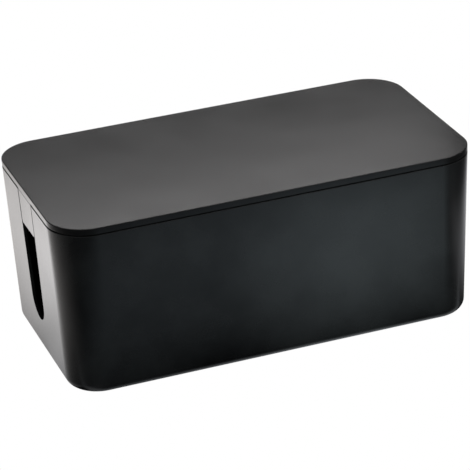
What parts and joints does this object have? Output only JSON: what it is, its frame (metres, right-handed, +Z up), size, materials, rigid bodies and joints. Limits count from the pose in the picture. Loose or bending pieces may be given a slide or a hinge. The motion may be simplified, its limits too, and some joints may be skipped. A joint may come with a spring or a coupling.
{
  "type": "cable management box",
  "caption": "Rectangular lidded box with rounded corners that hides a power strip: leads leave by an upright slot in each end, and a lift-off lid with tongues closes the tops of the slots.",
  "frame": {"origin": "centre of the box in plan, on the surface that the feet stand on", "axes": "+X along the length, from the left end to the right; -Y out of the front; +Z up, the way the lid lifts"},
  "size_m": [0.32, 0.172, 0.1339],
  "materials": {
    "tub_plastic": "black moulded plastic, satin",
    "lid_plastic": "black moulded plastic, fine matt texture",
    "foot_rubber": "matt black rubber"
  },
  "bodies": {
    "root": {"tub": "tub_plastic", "foot_front_left": "foot_rubber", "foot_front_right": "foot_rubber", "foot_rear_left": "foot_rubber", "foot_rear_right": "foot_rubber"},
    "lid": {"lid": "lid_plastic"}
  },
  "joints": [
    {"name": "lid_lift", "type": "slide", "parent": "root", "child": "lid", "axis": [0, 0, 1], "range_m": [0, 0.12]}
  ]
}
